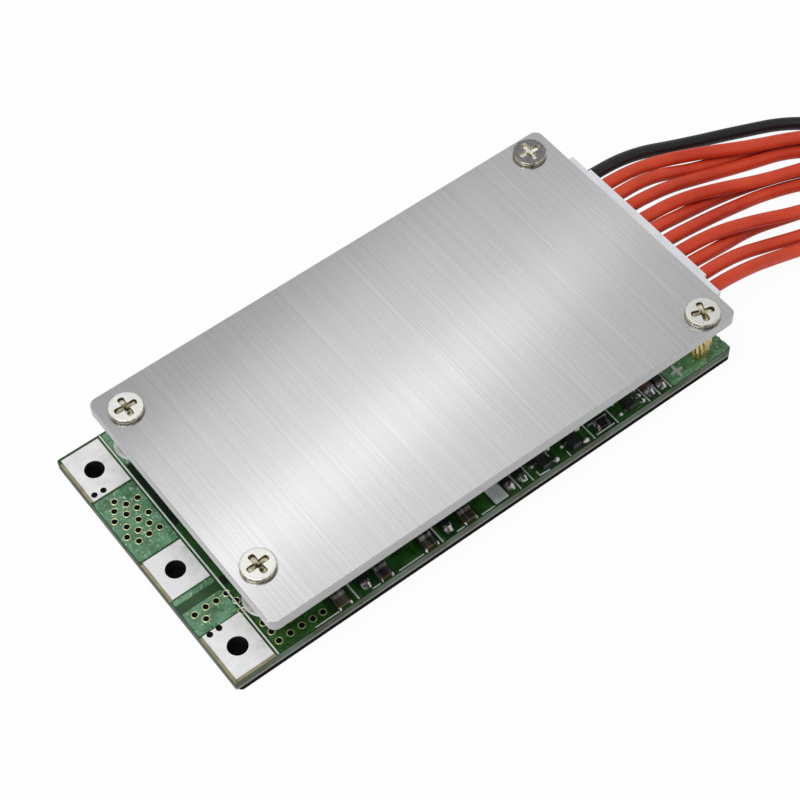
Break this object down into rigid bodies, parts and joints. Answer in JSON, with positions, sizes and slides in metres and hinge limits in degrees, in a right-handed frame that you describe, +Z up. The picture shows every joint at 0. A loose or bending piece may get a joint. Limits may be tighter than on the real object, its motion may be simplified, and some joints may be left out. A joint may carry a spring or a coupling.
{
  "type": "battery management board",
  "caption": "Circuit board under a screwed-on heat spreader plate, with bare terminal pads at one end and a multi-wire harness in a side-entry connector at the other.",
  "frame": {"origin": "under the middle of the board and plate together, on the lower face of the insulating sheet", "axes": "+X runs from the terminal pads to the harness, +Y across the board away from the edge with the sense resistors, +Z up through the plate"},
  "size_m": [0.1662, 0.0593, 0.0115],
  "materials": {
    "board": "satin green solder mask over glass laminate",
    "tinned_pad": "tinned copper, soft shine",
    "film": "clear adhesive film",
    "sheet": "matt black",
    "plate": "finely brushed across",
    "screw": "bright nickel plating",
    "brass": "turned and knurled",
    "solder": "bright solder",
    "thermal_pad": "soft grey silicone",
    "moulding": "black moulding compound",
    "lead": "tin plated",
    "strip": "dull resistance alloy",
    "resistor": "dark glaze",
    "capacitor": "brown ceramic",
    "end_cap": "tinned",
    "connector": "white nylon",
    "black_wire": "satin silicone sleeve",
    "red_wire": "satin silicone sleeve",
    "tie": "natural nylon"
  },
  "bodies": {
    "root": {"circuit_board": "board", "terminal_pad_1": "tinned_pad", "terminal_pad_2": "tinned_pad", "terminal_pad_3": "tinned_pad", "adhesive_film": "film", "insulating_sheet": "sheet", "heat_spreader_plate": "plate", "cover_screws": "screw", "standoffs": "brass", "solder_rings": "solder", "thermal_pad": "thermal_pad", "power_transistor_1": "moulding", "power_transistor_2": "moulding", "power_transistor_3": "moulding", "power_transistor_4": "moulding", "power_transistor_5": "moulding", "power_transistor_6": "moulding", "power_transistor_7": "moulding", "power_transistor_8": "moulding", "power_lead_frames": "lead", "sense_resistor_1": "strip", "sense_resistor_2": "strip", "sense_resistor_3": "strip", "sense_resistor_4": "strip", "chip_resistors": "resistor", "balance_resistors": "resistor", "chip_capacitors": "capacitor", "chip_end_caps": "end_cap", "edge_transistor_1": "moulding", "edge_transistor_2": "moulding", "edge_regulator": "moulding", "balance_transistors": "moulding", "small_leads": "lead", "protection_chip": "moulding", "driver_chip": "moulding", "chip_leads": "lead", "header_housing": "connector", "header_pins": "lead", "plug_housing": "connector", "crimp_contacts": "lead", "wire_black": "black_wire", "wire_red_1": "red_wire", "wire_red_2": "red_wire", "wire_red_3": "red_wire", "wire_red_4": "red_wire", "wire_red_5": "red_wire", "wire_red_6": "red_wire", "wire_red_7": "red_wire", "wire_red_8": "red_wire", "wire_red_9": "red_wire", "wire_red_10": "red_wire", "wire_coil": "red_wire", "coil_tie": "tie"}
  },
  "joints": []
}
